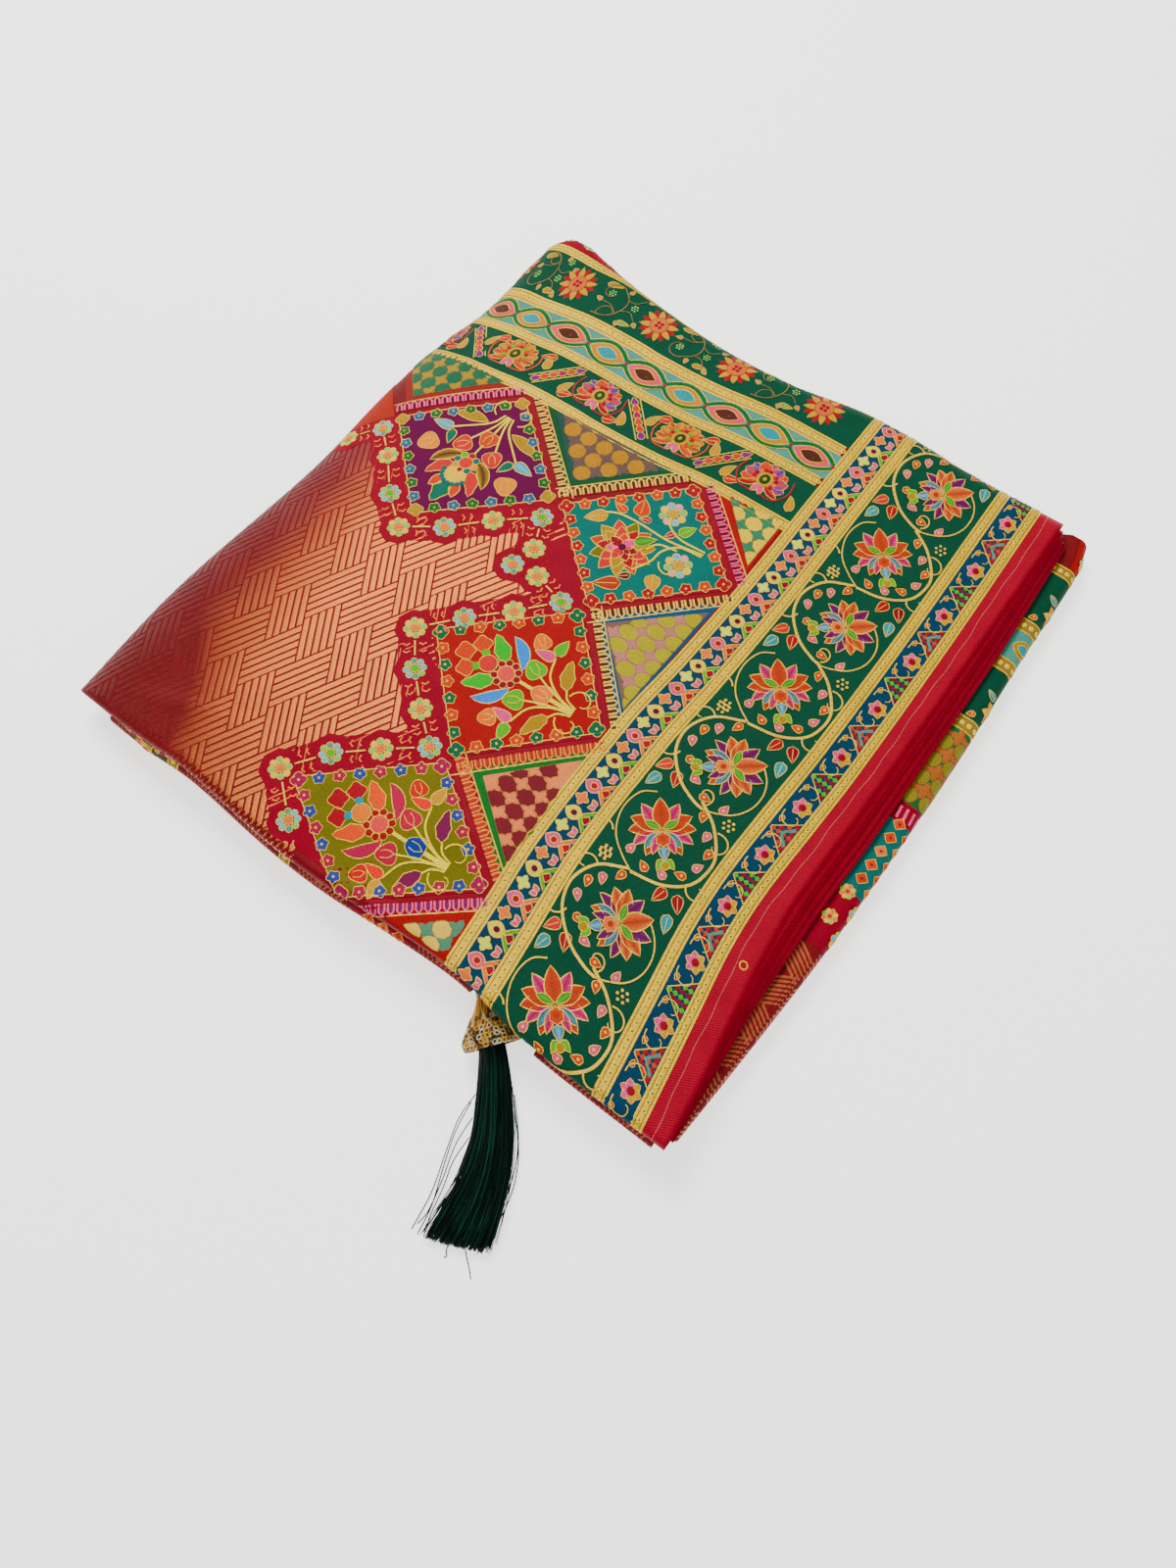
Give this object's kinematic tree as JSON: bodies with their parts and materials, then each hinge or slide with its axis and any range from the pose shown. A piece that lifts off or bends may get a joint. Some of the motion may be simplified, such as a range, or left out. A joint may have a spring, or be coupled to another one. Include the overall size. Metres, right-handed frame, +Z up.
{
  "type": "folded tissue sari with tassel",
  "caption": "Zari-woven tissue sari folded into a flat square bundle, with patterned borders, loose red selvedges and one silk tassel.",
  "frame": {"origin": "on the surface it rests on, at the middle of the folded bundle without its tassel", "axes": "+Z up from the surface, +X across the cloth to the loose selvedges, +Y to the spine fold, -Y to the front lip with the tassel"},
  "size_m": [0.311, 0.394, 0.0285],
  "materials": {
    "top_cloth": "satin",
    "inner_cloth": "satin",
    "fold_cloth": "satin",
    "selvedge_cloth": "matte",
    "hidden_layers": "matte",
    "zari_cap": "polished",
    "tassel_silk": "satin"
  },
  "bodies": {
    "root": {"core_layers": "hidden_layers", "top_stretch": "top_cloth", "inner_stretch": "inner_cloth", "lower_front_fold": "fold_cloth", "lower_front_fold_right": "fold_cloth", "lower_left_fold": "fold_cloth", "mid_fold": "fold_cloth", "selvedge_2": "selvedge_cloth", "selvedge_3": "selvedge_cloth", "selvedge_4": "selvedge_cloth", "selvedge_5": "selvedge_cloth", "tassel_cap": "zari_cap", "tassel_skirt": "tassel_silk"}
  },
  "joints": []
}
